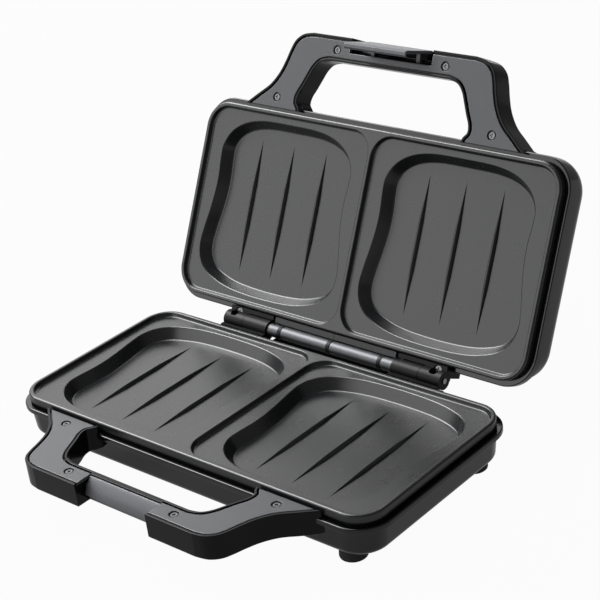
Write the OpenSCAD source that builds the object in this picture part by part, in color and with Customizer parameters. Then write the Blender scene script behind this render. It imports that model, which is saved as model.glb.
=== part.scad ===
// Two-slice sandwich toaster with a hinged lid, standing open.
// The base and the lid are near mirror images about the parting plane, where the two plates meet.
// Sizes are millimetres. X runs along the hinge, Y to the back, Z up from the surface it stands on.

/* [Plates] */
// Width of each cooking plate along the hinge
plate_w = 290; // [280:1:300]
// Depth of each cooking plate
plate_d = 134; // [130:1:138]
// Corner radius of a plate's lip
plate_corner = 18; // [14:1:22]
// Wall thickness of a plate
plate_wall = 2; // [1.5:0.1:2.4]
// Depth of a plate's skirt below the lip
skirt_h = 10; // [8:0.5:10]
// Depth of the shallow pads below the lip
pad_depth = 3.2; // [1.5:0.1:3.5]
// Depth of the bread pockets below the lip
pocket_depth = 11; // [10:0.5:13.5]
// Distance from the middle of a plate to the middle of a pocket
pocket_x = 71.5; // [70:0.5:73]
// Distance between neighbouring ribs in a pocket
rib_pitch = 28.5; // [24:0.5:30]
// Length of a rib
rib_len = 90; // [60:1:94]
// Height of a rib above the pocket floor
rib_h = 2.2; // [0.8:0.1:2.5]

/* [Housings] */
// How far a housing's rim stands outside the plate all round
rim_out = 3.5; // [3:0.5:4]
// Distance from the parting plane to the rim of the base
base_rim_drop = 7; // [6.5:0.5:8]
// Distance from the parting plane to the rim of the lid
lid_rim_drop = 5.4; // [5.4:0.2:7]
// How far the body of the base is set in under its rim
base_body_in = 3; // [0:0.5:3]
// Distance from the parting plane to a housing's outer face
housing_depth = 28; // [28:0.5:30]
// Wall thickness of a housing
housing_wall = 2.5; // [2:0.1:2.5]
// Radius round the bottom edge of the base
base_round = 4.5; // [4:0.5:9]
// How far each side of the base leans in towards its bottom
base_draft = 2; // [0:0.5:3]
// Radius round the outer edge of the lid
lid_round = 11.5; // [8:0.5:14]

/* [Handles] */
// Distance from the middle of the plates to the front of a handle
handle_reach = 122; // [120:1:126]
// Distance from the parting plane to a handle's cover
handle_drop = 2; // [1:0.5:3]
// Distance from the parting plane to a handle's outer face
handle_depth = 18; // [17:0.5:20]
// Wall thickness of a handle
handle_wall = 2.2; // [1.8:0.1:2.4]
// Half width of the recess for the catch in the base handle
catch_recess = 29.5; // [28:0.5:30]
// Half width of the recess for the latch in the lid handle
latch_recess = 33; // [30:0.5:34]

/* [Latch] */
// Half width of the latch plate
latch_half = 25; // [20:0.5:27]
// Distance of the latch pin behind the front of the handle
latch_pin_back = 8; // [7.5:0.1:8.5]
// Height of the latch pin above the parting plane
latch_pin_z = 11; // [10:0.5:12]
// Radius of the latch pin
latch_pin_r = 1.5; // [1.2:0.1:1.8]
// Angle by which the latch leans in towards the catch, with its hook under the catch
latch_rest = 9; // [7:0.5:9]

/* [Hinge] */
// Distance from the middle of the plates to the hinge axis
hinge_y = 76.5; // [76:0.5:78]
// Angle between the lid and its closed position
lid_angle = 117; // [0:1:117]
// Radius of the hinge pin
hinge_pin_r = 1.75; // [1.5:0.05:2]
// Radius of the steel sleeves on the hinge pin
sleeve_r = 4.5; // [4:0.1:4.7]
// Radius of a bracket's knuckle
knuckle_r = 5.8; // [5.2:0.1:6]

/* [Feet] */
// Radius of a foot
foot_r = 8.5; // [7:0.5:9]
// Height of a foot below the base
foot_h = 8.5; // [6:0.5:12]
// Distance of the front feet from the middle along the hinge
foot_x = 122; // [115:1:126]
// Distance of the rear feet from the middle along the hinge
rear_foot_x = 128; // [115:1:128]
// Distance of the front feet in front of the middle of the plates
foot_front = 55; // [48:1:55]
// Distance of the rear feet behind the middle of the plates
foot_back = 51.5; // [48:0.5:52]

/* [Hidden] */
$fn = 64;

// Colours as seen on the object
shell_black = "#26272a";
plate_grey = "#5f6062";
cover_grey = "#6a6b6e";
latch_grey = "#85868a";
steel = "#b9bcc0";
rubber_black = "#1b1b1c";

// Small gaps: between the closed lips, between parts that turn, and round loose parts
lip_gap = 0.25;
run_fit = 0.05;
side_gap = 0.3;

// Height of the parting plane above the surface, and of the frame's origin behind the plates
parting_z = housing_depth + foot_h;
frame_y = 30.33;

// Housing outline
housing_w = plate_w + 2 * rim_out;
housing_d = plate_d + 2 * rim_out;
housing_corner = plate_corner + rim_out;
housing_floor = housing_depth - housing_wall;
rim_front_y = -housing_d / 2;
rim_back_y = housing_d / 2;
rim_under = skirt_h + 0.5;
base_back_in = 4.25;
lid_back_in = 3.75;
base_front_y = rim_front_y + base_body_in;
base_back_y = rim_back_y - base_back_in;
ledge_in = 5;
ledge_h = 3;

// Plate levels, all measured down from the parting plane
lip_w = 3.4;
lip_overhang = 1.4;
ridge_w = 3.4;
pad_corner = 14.5;
web_bottom = pad_depth + plate_wall;
pocket_under = pocket_depth + plate_wall;
wall_run = 3.6;
floor_fillet = 2;
boss_r = 3.2;
plate_bosses = [[0, -40], [0, 40], [-135, -8], [135, -8]];

// One half of a pocket's outline, from the front middle to the back middle
pocket_half = [
    [0, -58.5], [24, -58], [40, -54.5], [51, -47.5], [56.5, -38], [57, -29], [56, -16],
    [56.3, -5], [58, 8], [60.5, 22], [61.5, 33], [59, 42.5], [52, 50], [40, 55], [24, 58], [0, 59]
];

// Heating element: a U under both pockets
element_r = 3.1;
element_z = pocket_under + 0.3 + element_r;
element_leg_y = 30;
element_end_x = 128;
element_turn_x = -104;
element_bend = 16;
clip_x = 78;
clip_w = 12;
clip_t = 0.8;

// Reflector tray under the element
reflector_w = 240;
reflector_d = 104;
reflector_t = 0.6;
reflector_top = element_z + element_r + 0.5;
reflector_lip = 4;
plate_screw_r = 1.5;
flat_head_h = 1.4;
recess_cut = 1.4;
fuse_x = -126;
fuse_y = 14;
fuse_z = -pocket_under - 2.3;
lead_r = 0.8;
lead_below = 1.9;
thermostat_r = 7.5;
thermostat_h = 5;

// One half of a handle's outer outline and of its finger gap, from the root to the front
handle_half = [
    [120, -64], [112, -70.5], [104, -77], [95.5, -84], [89.5, -92.5], [86, -101], [83.5, -109],
    [80.5, -115.5], [74.5, -120.2], [66, -handle_reach]
];
gap_half = [
    [65, -63], [67, -71], [70, -75], [69.5, -80], [66.5, -86], [63.5, -92.5], [60.3, -99],
    [55.8, -103.6], [49, -105.5]
];
root_over_rim = rim_front_y + 1.8;
rim_strip = 1.6;
cover_in = 2.6;
seat_in = 4.6;
seat_t = 1.6;
cover_t = 2;
cover_gap = 0.2;
cover_top = handle_drop + 0.2;
cover_seat_z = -cover_top - cover_t;
bar_back_wall = 3.2;
recess_y = -105.5 - bar_back_wall;
cover_bridge_y = -112.3;
bridge_under_z = -6.5;
no_bridge_y = -100;
handle_screws = [[88, -76], [44, -113], [-44, -113], [-88, -76]];
handle_screw_r = 1.4;
handle_head_r = 2.1;
handle_head_h = 1;
counterbore_r = 3.1;
counterbore_h = 1.5;
handle_boss_r = 3.6;

// Latch and catch, with the lid shut and the hook under the catch
latch_pin_y = -handle_reach + latch_pin_back;
latch_plate_t = 2.2;
latch_front = -handle_reach + 0.1;
latch_top = handle_depth - 4.5;
recess_floor_t = 2;
hook_bottom = -14.8;
catch_edge_z = -12.8;
catch_front = -115.6;
catch_undercut = 2.4;
hook_tip_y = -117.6;
hook_top = catch_edge_z - 0.2;
ear_x = 17;
ear_t = 3;
ear_h = 6;

// Hinge pieces along the axis
bracket_in = 53;
bracket_split = 74;
bracket_out = 91;
bracket_t = 4.5;
bracket_h = 16;
bracket_shelf_y = plate_d / 2 + 0.6;
bracket_screw = [84, 71];
bracket_screw_z = -3;
bracket_head_r = 2.5;
spacer_half = 1.3;
spacer_r = sleeve_r + 0.4;
spacer_x = 42.2;
sleeve_gap = 0.25;
leaf_t = 1.4;
leaf_seam = 0.3;
leaf_edge_y = 71.2;
leaf_end_y = 78;
leaf_z = spacer_r + 0.3;
guard_z = -7.4;
guard_t = 2;
guard_end_y = 80;

// Cord inlet in the back wall of the base
inlet_x = -112;
inlet_z = -17.4;
inlet_r = 3.4;
gland_r = 5;
gland_neck_r = 4.1;

// Indicator lamps in the lid
lamp_x = 13;
lamp_y = -45;
lens_r = 3.5;

// Points of a smooth curve through the given points, with some steps between each pair
function blend_point(a, b, c, d, t) =
    0.5 * ((2 * b) + (c - a) * t + (2 * a - 5 * b + 4 * c - d) * t * t
    + (3 * b - a - 3 * c + d) * t * t * t);
function smooth_open(p, steps) = [
    for (i = [0 : len(p) - 2], k = [0 : steps - 1])
        blend_point(p[max(i - 1, 0)], p[i], p[i + 1], p[min(i + 2, len(p) - 1)], k / steps),
    p[len(p) - 1]
];
function smooth_closed(p, steps) = [
    for (i = [0 : len(p) - 1], k = [0 : steps - 1])
        blend_point(p[(i + len(p) - 1) % len(p)], p[i], p[(i + 1) % len(p)], p[(i + 2) % len(p)],
            k / steps)
];
function flip_x(p) = [for (i = [len(p) - 1 : -1 : 0]) [-p[i][0], p[i][1]]];
function middle_part(p) = [for (i = [1 : len(p) - 2]) p[i]];

// Outline of a pocket about its own middle, drawn in by an inset measured square to the edge
pocket_points = smooth_closed(concat(pocket_half, middle_part(flip_x(pocket_half))), 3);
function unit(v) = v / norm(v);
function inset_outline(p, inset) = [
    for (i = [0 : len(p) - 1])
        let (
            before = p[(i + len(p) - 1) % len(p)],
            after = p[(i + 1) % len(p)],
            along = unit(after - before)
        )
        p[i] + inset * [-along[1], along[0]]
];

// A closed solid through a stack of like outlines, each given as [outline, height], from low to high
module stack(rings) {
    count = len(rings[0][0]);
    last = len(rings) - 1;
    polyhedron(
        points = [for (ring = rings, p = ring[0]) [p[0], p[1], ring[1]]],
        faces = concat(
            [[for (i = [0 : count - 1]) i]],
            [[for (i = [count - 1 : -1 : 0]) last * count + i]],
            [for (k = [0 : last - 1], i = [0 : count - 1])
                let (j = (i + 1) % count)
                each [[k * count + i, (k + 1) * count + i, (k + 1) * count + j],
                    [k * count + i, (k + 1) * count + j, k * count + j]]]
        )
    );
}

// A round bar along a list of points, each ring square to the run, with flat ends
function run_at(p, i) = unit(p[min(i + 1, len(p) - 1)] - p[max(i - 1, 0)]);
function ring_at(p, i, r, sides, side_of) =
    let (
        along = run_at(p, i),
        across = unit(cross(along, side_of)),
        up = cross(across, along)
    )
    [for (k = [0 : sides - 1]) p[i] + r * (across * cos(360 * k / sides) + up * sin(360 * k / sides))];
module bar(p, r, sides, side_of = [0, 0, 1]) {
    last = len(p) - 1;
    polyhedron(
        points = [for (i = [0 : last]) each ring_at(p, i, r, sides, side_of)],
        faces = concat(
            [[for (k = [0 : sides - 1]) k]],
            [[for (k = [sides - 1 : -1 : 0]) last * sides + k]],
            [for (i = [0 : last - 1], k = [0 : sides - 1])
                let (n = (k + 1) % sides)
                each [[i * sides + k, (i + 1) * sides + k, (i + 1) * sides + n],
                    [i * sides + k, (i + 1) * sides + n, i * sides + n]]]
        )
    );
}
function arc(centre, r, from, to, steps) = [
    for (k = [0 : steps]) let (a = from + (to - from) * k / steps)
        [centre[0] + r * cos(a), centre[1] + r * sin(a), centre[2]]
];

// Places for the two halves. Both are drawn in the closed position about the parting plane.
module in_base() {
    translate([0, -frame_y, parting_z]) children();
}
module in_lid() {
    in_base()
    translate([0, hinge_y, 0])
    rotate([-lid_angle, 0, 0])
    translate([0, -hinge_y, 0])
    children();
}
module turned_over() {
    mirror([0, 0, 1]) children();
}
module both_sides() {
    children();
    mirror([1, 0, 0]) children();
}

// A rectangle with round corners
module round_rect(w, d, r) {
    square([w - 2 * r, d], center = true);
    square([w, d - 2 * r], center = true);
    for (x = [-1, 1], y = [-1, 1])
        translate([x * (w / 2 - r), y * (d / 2 - r)]) circle(r);
}

// A round-cornered block from z = -depth up to z = -top, with its lower edge rounded. Its two
// sides lean in by the draft.
module pan(w, d, corner, depth, top, edge, draft) {
    steps = 7;
    hull()
        for (x = [-1, 1], y = [-1, 1]) {
            translate([x * (w / 2 - corner), y * (d / 2 - corner), -top - 1])
                cylinder(h = 1, r = corner, $fn = 48);
            translate([x * (w / 2 - corner - draft), y * (d / 2 - corner), 0])
                rotate_extrude($fn = 48)
                polygon(concat(
                    [[0, -depth], [0, -depth + edge]],
                    [for (k = [0 : steps]) let (a = -90 * k / steps)
                        [corner - edge + edge * cos(a), -depth + edge + edge * sin(a)]]
                ));
        }
}

// A housing as it lies in the base: a body set in under a rim, with a ledge for the plate's skirt
module housing(drop, side_in, back_in, edge, draft) {
    body_w = housing_w - 2 * side_in;
    body_d = housing_d - side_in - back_in;
    corner = housing_corner - side_in;
    middle_y = (side_in - back_in) / 2;
    ledge_z = -skirt_h - ledge_h;
    difference() {
        union() {
            translate([0, middle_y, 0])
                pan(body_w, body_d, corner, housing_depth, skirt_h, edge, draft);
            translate([0, 0, -rim_under])
                linear_extrude(rim_under - drop)
                round_rect(housing_w, housing_d, housing_corner);
        }
        translate([0, middle_y, 0])
            pan(body_w - 2 * housing_wall, body_d - 2 * housing_wall, corner - housing_wall,
                housing_floor, -ledge_z, edge - housing_wall, draft);
        translate([0, 0, ledge_z - 1])
            linear_extrude(ledge_h + 2)
            round_rect(plate_w - 2 * ledge_in, plate_d - 2 * ledge_in, plate_corner - ledge_in);
        translate([0, 0, -skirt_h])
            linear_extrude(skirt_h)
            round_rect(plate_w - 2 * lip_overhang + 2 * side_gap,
                plate_d - 2 * lip_overhang + 2 * side_gap, plate_corner - lip_overhang + side_gap);
        children();
    }
}

// A tapered pocket: the opening at height top, sloping walls, and a rounded foot at the floor
module pocket(grow, top, bottom) {
    rings = [
        [inset_outline(pocket_points, wall_run + floor_fillet - grow), -bottom],
        [inset_outline(pocket_points, wall_run + floor_fillet * 0.25 - grow),
            -bottom + floor_fillet * 0.3],
        [inset_outline(pocket_points, wall_run - floor_fillet * 0.2 - grow),
            -bottom + floor_fillet * 1.2],
        [inset_outline(pocket_points, 1 - grow), -pad_depth - 1.3],
        [inset_outline(pocket_points, 0.3 - grow), -pad_depth - 0.5],
        [inset_outline(pocket_points, -grow), -top]
    ];
    stack(rings);
}

// A rib on a pocket floor, ridged along the top and tapering to a point at each end
module rib() {
    half = rib_len / 2;
    foot = 2;
    taper = 30;
    base_z = -pocket_depth - 0.4;
    top_z = -pocket_depth + rib_h;
    polyhedron(
        points = [
            [0, -half, base_z], [foot, -half + taper, base_z], [foot, half - taper, base_z],
            [0, half, base_z], [-foot, half - taper, base_z], [-foot, -half + taper, base_z],
            [0, -half + taper, top_z], [0, half - taper, top_z]
        ],
        faces = [
            [0, 1, 2, 3, 4, 5], [0, 6, 1], [1, 6, 7, 2], [2, 7, 3], [3, 7, 4],
            [4, 7, 6, 5], [5, 6, 0]
        ]
    );
}

// A cooking plate as it lies in the base
module plate() {
    pad_w = plate_w / 2 - lip_w - ridge_w / 2;
    difference() {
        union() {
            translate([0, 0, -pad_depth - plate_wall])
            linear_extrude(pad_depth + plate_wall - lip_gap)
            round_rect(plate_w, plate_d, plate_corner);
            translate([0, 0, -skirt_h])
            linear_extrude(skirt_h - web_bottom + 1)
            difference() {
                round_rect(plate_w - 2 * lip_overhang, plate_d - 2 * lip_overhang,
                    plate_corner - lip_overhang);
                round_rect(plate_w - 2 * (lip_overhang + plate_wall),
                    plate_d - 2 * (lip_overhang + plate_wall),
                    plate_corner - lip_overhang - plate_wall);
            }
            both_sides()
                translate([pocket_x, 0, 0])
                pocket(plate_wall, pad_depth + 0.2, pocket_under);
            for (b = plate_bosses)
                translate([b[0], b[1], -reflector_top])
                cylinder(h = reflector_top - web_bottom + 1, r = boss_r);
        }
        both_sides()
            translate([ridge_w / 2 + pad_w / 2, 0, -pad_depth])
            linear_extrude(pad_depth + 1)
            round_rect(pad_w, plate_d - 2 * lip_w, pad_corner);
        both_sides()
            translate([pocket_x, 0, 0])
            pocket(0, pad_depth - 0.5, pocket_depth);
        for (b = plate_bosses)
            translate([b[0], b[1], -reflector_top - 1])
            cylinder(h = reflector_top - web_bottom, r = plate_screw_r);
    }
    both_sides()
        for (k = [-1 : 1])
            translate([pocket_x + k * rib_pitch, 0, 0]) rib();
}

// The tubular heating element, a U with its two ends at the right
module heating_element() {
    turn = element_turn_x + element_bend;
    side = element_leg_y - element_bend;
    bar(concat(
        [[element_end_x, -element_leg_y, -element_z], [60, -element_leg_y, -element_z],
            [0, -element_leg_y, -element_z], [-60, -element_leg_y, -element_z]],
        arc([turn, -side, -element_z], element_bend, 270, 180, 8),
        arc([turn, side, -element_z], element_bend, 180, 90, 8),
        [[-60, element_leg_y, -element_z], [0, element_leg_y, -element_z],
            [60, element_leg_y, -element_z], [element_end_x, element_leg_y, -element_z]]
    ), element_r, 12);
}

// Saddle clips that hold the element against the plate
module element_clips() {
    for (x = [-1, 1], y = [-1, 1])
        translate([x * clip_x - clip_w / 2, y * element_leg_y, -element_z])
        difference() {
            translate([0, -clip_w / 2, -element_r - 0.4])
                cube([clip_w, clip_w, element_r * 2 + 0.7]);
            rotate([0, 90, 0])
                translate([0, 0, -1]) cylinder(h = clip_w + 2, r = element_r + 0.1);
        }
}

// The reflector tray. Its walls are slotted for the element's ends and the fuse, and its floor
// has a hole for each lamp and each screw.
module reflector() {
    difference() {
        translate([0, 0, -reflector_top - reflector_t])
        linear_extrude(reflector_t + reflector_lip)
        round_rect(reflector_w, reflector_d, 8);
        translate([0, 0, -reflector_top])
        linear_extrude(reflector_lip + 1)
        round_rect(reflector_w - 2 * reflector_t, reflector_d - 2 * reflector_t, 7.4);
        for (b = [plate_bosses[0], plate_bosses[1]])
            translate([b[0], b[1], -reflector_top - 1]) cylinder(h = 2, r = plate_screw_r + 0.2);
        for (x = [-lamp_x, lamp_x])
            translate([x - 4, lamp_y - 4, -reflector_top - 1]) cube([8, 12, 2]);
        for (y = [-element_leg_y, element_leg_y])
            translate([reflector_w / 2 - 3, y - 4, -reflector_top]) cube([6, 8, reflector_lip + 1]);
        translate([-reflector_w / 2 - 3, fuse_y - 3.5, -reflector_top])
            cube([6, 7, reflector_lip + 1]);
    }
    for (s = [-1, 1])
        translate([0, 0, -reflector_top - reflector_t])
        linear_extrude(reflector_t)
        difference() {
            translate([s * 129, -8]) square([20, 12], center = true);
            translate([s * 135, -8]) circle(plate_screw_r + 0.2);
        }
}

// The cutter for a cross recess in a screw's head
module cross_recess(across, slot) {
    cube([across, slot, recess_cut], center = true);
    cube([slot, across, recess_cut], center = true);
}

// Screws that hold the reflector to the plate's bosses
module plate_screws() {
    for (b = plate_bosses)
        translate([b[0], b[1], -reflector_top - reflector_t]) {
            translate([0, 0, -0.1]) cylinder(h = 9, r = plate_screw_r);
            difference() {
                translate([0, 0, -flat_head_h]) cylinder(h = flat_head_h - run_fit, r = 2.4);
                translate([0, 0, -flat_head_h]) cross_recess(3.4, 0.7);
            }
        }
}

// Outline of a handle in plan, cut off straight at its root
module handle_outline(root_y) {
    outer = smooth_open(handle_half, 4);
    inner = smooth_open(gap_half, 4);
    intersection() {
        difference() {
            polygon(concat(outer, flip_x(outer)));
            polygon(concat(inner, flip_x(inner)));
        }
        translate([-plate_w / 2, -plate_w]) square([plate_w, plate_w + root_y]);
    }
}
module recess_area(half, back_y) {
    translate([-half, -handle_reach - 1]) square([2 * half, handle_reach + 1 + back_y]);
}

module handle_area(recess_half, root_y) {
    difference() {
        handle_outline(root_y);
        recess_area(recess_half, recess_y);
    }
}

// The area for a handle's covers, drawn in from its edges. Towards the recess it runs out at the
// given half width and back edge, and a back edge behind the bar splits it in two.
module cover_area(inset, half, back_y) {
    difference() {
        offset(delta = -inset) handle_outline(root_over_rim + inset + 1);
        recess_area(half, back_y);
    }
}

// The hollow inside a handle, drawn in from its outline and clear of the screw bosses
module handle_hollow(recess_half, inset) {
    difference() {
        offset(delta = -inset) handle_area(recess_half, rim_front_y);
        for (s = handle_screws) translate(s) circle(handle_boss_r);
    }
}

// A handle shell as it lies in the base: a hollow channel with a seat for its covers
module handle(recess_half, bridge_y, drop, body_front_y) {
    floor_z = -handle_depth + handle_wall;
    difference() {
        union() {
            translate([0, 0, -handle_depth])
            linear_extrude(handle_depth - rim_under)
            handle_area(recess_half, body_front_y);
            translate([0, 0, -rim_under])
            linear_extrude(rim_under - drop)
            handle_area(recess_half, rim_front_y);
            translate([0, 0, -drop])
            linear_extrude(drop - handle_drop)
            handle_area(recess_half, root_over_rim);
        }
        translate([0, 0, floor_z])
        linear_extrude(cover_seat_z - seat_t - floor_z)
        handle_hollow(recess_half, handle_wall);
        translate([0, 0, cover_seat_z - seat_t])
        linear_extrude(seat_t)
        handle_hollow(recess_half, seat_in);
        translate([0, 0, cover_seat_z])
        linear_extrude(handle_depth)
        cover_area(rim_strip, recess_half, bridge_y);
        for (s = handle_screws)
            translate([s[0], s[1], floor_z]) cylinder(h = handle_depth, r = handle_screw_r);
    }
}

// What closes a handle: one or two covers with counterbored holes for the screws
module handle_covers(recess_half, bridge_y) {
    difference() {
        translate([0, 0, cover_seat_z])
        linear_extrude(cover_t)
        intersection() {
            cover_area(cover_in, recess_half + cover_gap, bridge_y + cover_gap);
            translate([-plate_w / 2, -plate_w]) square([plate_w, plate_w + root_over_rim]);
        }
        for (s = handle_screws) {
            translate([s[0], s[1], -20]) cylinder(h = 20, r = handle_screw_r + 0.2);
            translate([s[0], s[1], -cover_top - counterbore_h]) cylinder(h = 3, r = counterbore_r);
        }
    }
}

// A pan-head screw with a cross recess, its head's underside at z = 0 and its shank below
module pan_screw(head_r, head_h, shank_r, shank_len) {
    translate([0, 0, -shank_len]) cylinder(h = shank_len, r = shank_r);
    difference() {
        cylinder(h = head_h, r = head_r);
        translate([0, 0, head_h]) cross_recess(head_r * 1.3, 0.8);
    }
}
module handle_screw_set() {
    for (s = handle_screws)
        translate([s[0], s[1], -cover_top - counterbore_h])
        pan_screw(handle_head_r, handle_head_h, handle_screw_r, 10);
}

// The side profile of a hinge bracket as it lies in the base: a shelf over the rim, and a flange on
// the body's back wall
module bracket_block(knuckle, drop, wall_y) {
    under_z = -knuckle_r - 0.5;
    polygon(concat(
        [[bracket_shelf_y, -drop + 0.1], [bracket_shelf_y, -0.6]],
        knuckle ? [[hinge_y, -0.6], [hinge_y, under_z]]
            : [[hinge_y - knuckle_r - 0.5, -0.6], [rim_back_y + 1.5, under_z]],
        [[rim_back_y + bracket_t, under_z], [rim_back_y + bracket_t, -bracket_h],
            [wall_y, -bracket_h], [wall_y, -rim_under], [rim_back_y, -rim_under],
            [rim_back_y, -drop + 0.1]]
    ));
}
module along_hinge(from, to) {
    translate([from, 0, 0])
    rotate([90, 0, 90])
    linear_extrude(to - from)
    children();
}

// A pair of brackets: the knuckle runs from one X to another, and a web fills the rest
module brackets(knuckle_from, knuckle_to, web_from, web_to, bore, drop, wall_y) {
    both_sides()
        difference() {
            union() {
                along_hinge(knuckle_from, knuckle_to) {
                    bracket_block(true, drop, wall_y);
                    translate([hinge_y, 0]) circle(knuckle_r);
                }
                along_hinge(web_from, web_to) bracket_block(false, drop, wall_y);
            }
            along_hinge(knuckle_from - 1, knuckle_to + 1) translate([hinge_y, 0]) circle(bore);
            children();
        }
}

// The base's housing, with a shelf under the hinge that hides the surface behind the tubes
module base_housing() color(shell_black) in_base() {
    housing(base_rim_drop, base_body_in, base_back_in, base_round, base_draft) {
        translate([inlet_x, base_back_y - 5, inlet_z])
        rotate([-90, 0, 0]) cylinder(h = 10, r = gland_neck_r);
    }
    translate([-bracket_in + 1, rim_back_y - 0.5, guard_z - guard_t])
        cube([2 * bracket_in - 2, guard_end_y - rim_back_y + 0.5, guard_t]);
}

module lower_plate() color(plate_grey) in_base() plate();

module lower_heating_element() color(steel) in_base() heating_element();

module lower_element_clips() color(steel) in_base() element_clips();

module lower_reflector() color(steel) in_base() reflector();

module lower_plate_screws() color(steel) in_base() plate_screws();

module lower_handle() color(shell_black) in_base()
    handle(catch_recess, no_bridge_y, base_rim_drop, base_front_y);

module lower_handle_covers() color(cover_grey) in_base()
    handle_covers(catch_recess, no_bridge_y);

module lower_handle_screws() color(steel) in_base() handle_screw_set();

// The catch: a bar across the recess whose two sloping faces push the hook out as the lid shuts
module latch_catch() color(latch_grey) in_base()
    along_hinge(-catch_recess + 0.1, catch_recess - 0.1)
    polygon([
        [recess_y, -3], [-109.5, -3], [-113.5, -6.5], [catch_front, catch_edge_z + 0.4],
        [catch_front, catch_edge_z], [catch_front + catch_undercut, catch_edge_z],
        [catch_front + catch_undercut, -handle_depth + 1], [recess_y, -handle_depth + 1]
    ]);

// Four feet pushed into the bottom of the base
module rubber_feet() color(rubber_black)
    in_base()
    for (x = [-1, 1], f = [[foot_x, -foot_front], [rear_foot_x, foot_back]])
        translate([x * f[0], f[1], -housing_depth - foot_h])
        rotate_extrude()
        polygon([[0, 0], [foot_r - 1, 0], [foot_r - 0.3, 0.4], [foot_r, 1.2],
            [foot_r - 0.5, foot_h - 0.05], [0, foot_h - 0.05]]);

module base_hinge_brackets() color(shell_black) in_base()
    brackets(bracket_in, bracket_split, bracket_split - 1, bracket_out, hinge_pin_r,
        base_rim_drop, base_back_y);

// Two screws in each base bracket, driven into the back wall
module base_bracket_screws() color(steel) in_base()
    both_sides()
    for (x = [60, 84])
        translate([x, rim_back_y + bracket_t, -11.5])
        rotate([-90, 0, 0])
        difference() {
            cylinder(h = flat_head_h, r = 2.6);
            translate([0, 0, flat_head_h]) cross_recess(3.4, 0.7);
        }

module hinge_pin() color(steel) in_base()
    along_hinge(-bracket_out - 0.6, bracket_out + 0.6) translate([hinge_y, 0]) circle(hinge_pin_r);

// Black washers between the sleeves
module hinge_spacers() color(rubber_black) in_base()
    for (x = [-spacer_x, 0, spacer_x])
        along_hinge(x - spacer_half, x + spacer_half)
        translate([hinge_y, 0])
        difference() {
            circle(spacer_r);
            circle(hinge_pin_r);
        }

// Short steel bushes between the outer washers and the base brackets
module hinge_end_bushes() color(steel) in_base()
    both_sides()
    along_hinge(spacer_x + spacer_half, bracket_in)
    translate([hinge_y, 0])
    difference() {
        circle(sleeve_r);
        circle(hinge_pin_r);
    }

// Snap-disc thermostat against the underside of the left pocket
module thermostat() color("#c9c4b4") in_base()
    translate([-pocket_x, 0, -pocket_under - thermostat_h]) {
        cylinder(h = thermostat_h, r = thermostat_r);
        for (y = [thermostat_r - 0.5, -thermostat_r - 5.5])
            translate([-2.5, y, 1]) cube([5, 6, 0.8]);
    }

module thermostat_clip() color(steel) in_base()
    translate([-pocket_x - 15, -3, -pocket_under - thermostat_h - clip_t])
    difference() {
        cube([30, 6, thermostat_h + clip_t]);
        translate([6, -1, clip_t]) cube([18, 8, thermostat_h + 1]);
    }

// One-shot fuse in its sleeve, held against the left end of the plate
module thermal_fuse() color("#e8e2cc") in_base()
    translate([fuse_x, fuse_y, fuse_z])
    rotate([0, 90, 0])
    cylinder(h = 16, r = 2.2);

module terminal_block() color("#d8d4c8") in_base()
    translate([-100, 55, -housing_floor])
    difference() {
        cube([26, 6.4, 8]);
        for (k = [0 : 2]) translate([4.5 + 8.5 * k, 3.2, 3]) cylinder(h = 6, r = 1.8);
    }

// Leads from the terminal block to the fuse, and to the element's two ends
module internal_wires() color("#8c2f22") in_base() {
    z = -reflector_top - lead_below;
    bar([[-98, 54.6, z], [-99, 51, z], [-104, 46, z], [-112, 40, z], [-122, 33, z],
        [-128, 26, z + 1.5], [-130.5, 20, z + 4], [-131, 16, fuse_z - 0.8],
        [-129.5, fuse_y, fuse_z], [fuse_x - 0.1, fuse_y, fuse_z]], lead_r, 8);
    bar([[-86, 54.8, z], [-86, 54, z], [-83, 52, z], [-70, 51, z], [0, 53.5, z], [60, 54, z],
        [110, 54, z], [122, 50, z], [128, 42, z], [131, 35, z + 1.5], [132, 31, -element_z],
        [129, element_leg_y, -element_z]], lead_r, 8);
}

// Bush in the back wall where the supply cord enters
module cord_gland() color(rubber_black) in_base()
    translate([inlet_x, base_back_y, inlet_z])
    rotate([-90, 0, 0])
    difference() {
        union() {
            cylinder(h = 4, r = gland_r);
            translate([0, 0, -housing_wall - 2]) cylinder(h = housing_wall + 3, r = gland_neck_r);
        }
        translate([0, 0, -10]) cylinder(h = 20, r = inlet_r);
    }

module lid_housing() color(shell_black) in_lid() turned_over()
    housing(lid_rim_drop, 0, lid_back_in, lid_round, 0) {
        for (x = [-lamp_x, lamp_x])
            translate([x, lamp_y, -housing_depth - 1]) cylinder(h = 6, r = lens_r);
    }

module upper_plate() color(plate_grey) in_lid() turned_over() plate();

module upper_heating_element() color(steel) in_lid() turned_over() heating_element();

module upper_element_clips() color(steel) in_lid() turned_over() element_clips();

module upper_reflector() color(steel) in_lid() turned_over() reflector();

module upper_plate_screws() color(steel) in_lid() turned_over() plate_screws();

// The lid's handle. A bridge behind the latch carries the middle of the cover, and the outer face
// runs on across the recess.
module upper_handle() color(shell_black) in_lid() turned_over() {
    difference() {
        handle(latch_recess, cover_bridge_y, lid_rim_drop, rim_front_y);
        along_hinge(-latch_recess - 3, latch_recess + 3)
            translate([latch_pin_y, -latch_pin_z]) circle(latch_pin_r);
    }
    translate([-latch_recess - 0.5, cover_bridge_y, bridge_under_z])
        cube([2 * latch_recess + 1, recess_y - cover_bridge_y + 0.5, cover_seat_z - bridge_under_z]);
    translate([-latch_recess - 0.5, -handle_reach, -handle_depth])
        cube([2 * latch_recess + 1, recess_y + handle_reach + 0.5, recess_floor_t]);
}

module upper_handle_cover() color(cover_grey) in_lid() turned_over()
    handle_covers(latch_recess, cover_bridge_y);

module upper_handle_screws() color(steel) in_lid() turned_over() handle_screw_set();

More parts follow.
